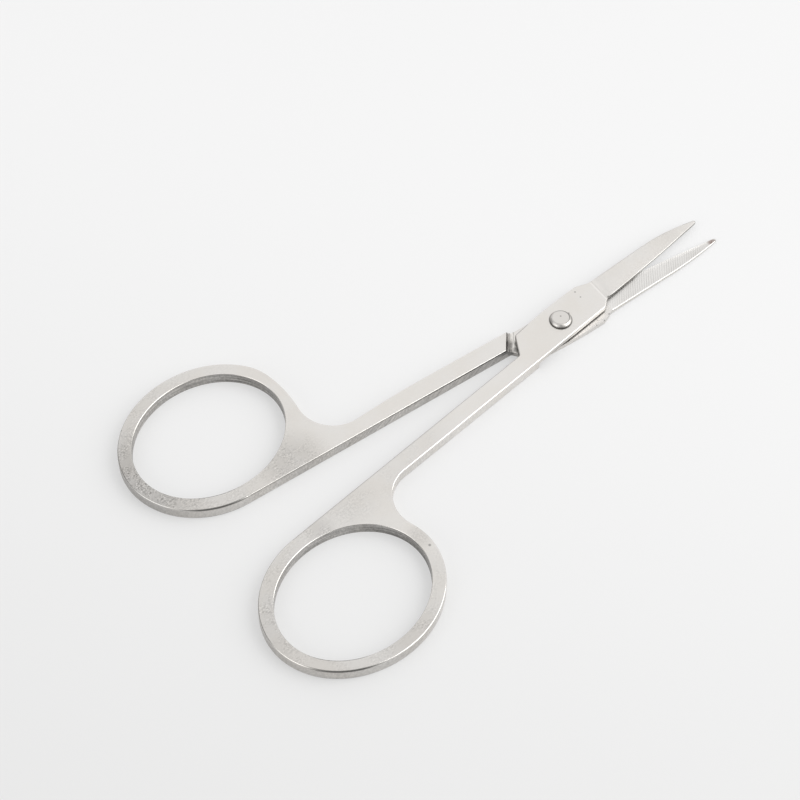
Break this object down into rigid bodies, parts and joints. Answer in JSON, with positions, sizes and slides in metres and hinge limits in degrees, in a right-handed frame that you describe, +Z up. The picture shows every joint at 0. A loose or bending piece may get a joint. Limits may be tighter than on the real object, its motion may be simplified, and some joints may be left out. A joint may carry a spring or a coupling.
{
  "type": "manicure scissors",
  "caption": "Straight-bladed nail scissors: flat steel halves crossed at a domed rivet, with slim pointed blades, lapped joint plates and oval finger rings; they open and close.",
  "frame": {"origin": "on the rivet's axis, at the flat underside that rests on the table", "axes": "+Z up along the rivet, +X to the tips midway between the blades, +Y to the lower half's finger ring"},
  "size_m": [0.089, 0.0526, 0.0025],
  "materials": {
    "lower_steel": "tumbled satin stainless steel",
    "upper_steel": "tumbled satin stainless steel",
    "rivet_steel": "lightly polished stainless steel"
  },
  "bodies": {
    "lower": {"lower_half": "lower_steel", "pivot_rivet": "rivet_steel"},
    "upper": {"upper_half": "upper_steel"}
  },
  "joints": [
    {"name": "blade_pivot", "type": "hinge", "parent": "lower", "child": "upper", "pos_m": [0, 0, 0], "axis": [0, 0, 1], "range_deg": [-9.9, 126]}
  ]
}
